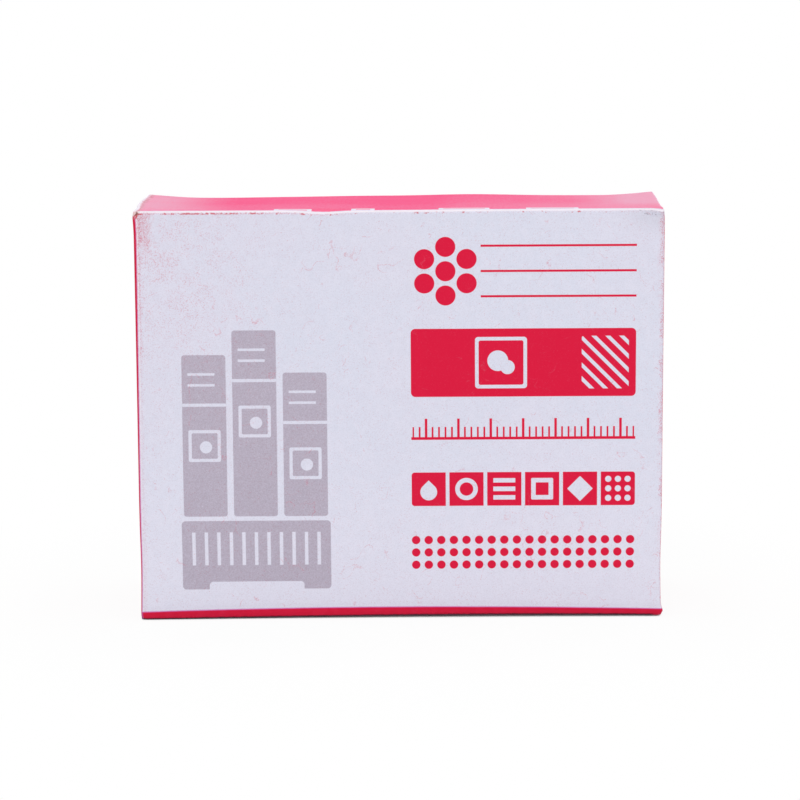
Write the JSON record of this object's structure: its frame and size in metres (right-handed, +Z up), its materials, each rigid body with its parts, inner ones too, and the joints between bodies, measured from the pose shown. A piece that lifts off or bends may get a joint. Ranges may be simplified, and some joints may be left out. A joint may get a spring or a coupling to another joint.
{
  "type": "microscope slide box",
  "caption": "Two-piece folding-card box of plain glass microscope slides, with a printed full-depth lid that slips off a shallow tray holding the slides flat on one another.",
  "frame": {"origin": "middle of the box's footprint, on the surface it stands on, with the box standing on one long narrow side", "axes": "+Z up; X along the box's length; -Y is the way the lid's printed panel faces and the way the lid slips off"},
  "size_m": [0.0812, 0.0272, 0.0639],
  "materials": {
    "lid_card": "coated folding board, printed, semi-gloss, worn at the folds",
    "tray_card": "uncoated grey board, matte",
    "slide_glass": "clear soda-lime glass, polished faces, ground edges"
  },
  "bodies": {
    "tray": {"tray": "tray_card", "slide_01": "slide_glass", "slide_02": "slide_glass", "slide_03": "slide_glass", "slide_04": "slide_glass", "slide_05": "slide_glass", "slide_06": "slide_glass", "slide_07": "slide_glass", "slide_08": "slide_glass", "slide_09": "slide_glass", "slide_10": "slide_glass", "slide_11": "slide_glass", "slide_12": "slide_glass", "slide_13": "slide_glass", "slide_14": "slide_glass", "slide_15": "slide_glass", "slide_16": "slide_glass", "slide_17": "slide_glass", "slide_18": "slide_glass", "slide_19": "slide_glass", "slide_20": "slide_glass", "slide_21": "slide_glass", "slide_22": "slide_glass", "slide_23": "slide_glass", "slide_24": "slide_glass", "slide_25": "slide_glass", "slide_26": "slide_glass", "slide_27": "slide_glass", "slide_28": "slide_glass", "slide_29": "slide_glass", "slide_30": "slide_glass", "slide_31": "slide_glass", "slide_32": "slide_glass", "slide_33": "slide_glass", "slide_34": "slide_glass", "slide_35": "slide_glass", "slide_36": "slide_glass", "slide_37": "slide_glass", "slide_38": "slide_glass", "slide_39": "slide_glass", "slide_40": "slide_glass", "slide_41": "slide_glass", "slide_42": "slide_glass", "slide_43": "slide_glass", "slide_44": "slide_glass", "slide_45": "slide_glass", "slide_46": "slide_glass", "slide_47": "slide_glass", "slide_48": "slide_glass", "slide_49": "slide_glass", "slide_50": "slide_glass"},
    "lid": {"lid": "lid_card"}
  },
  "joints": [
    {"name": "lid_lift", "type": "slide", "parent": "tray", "child": "lid", "axis": [0, -1, 0], "range_m": [0, 0.035]}
  ]
}
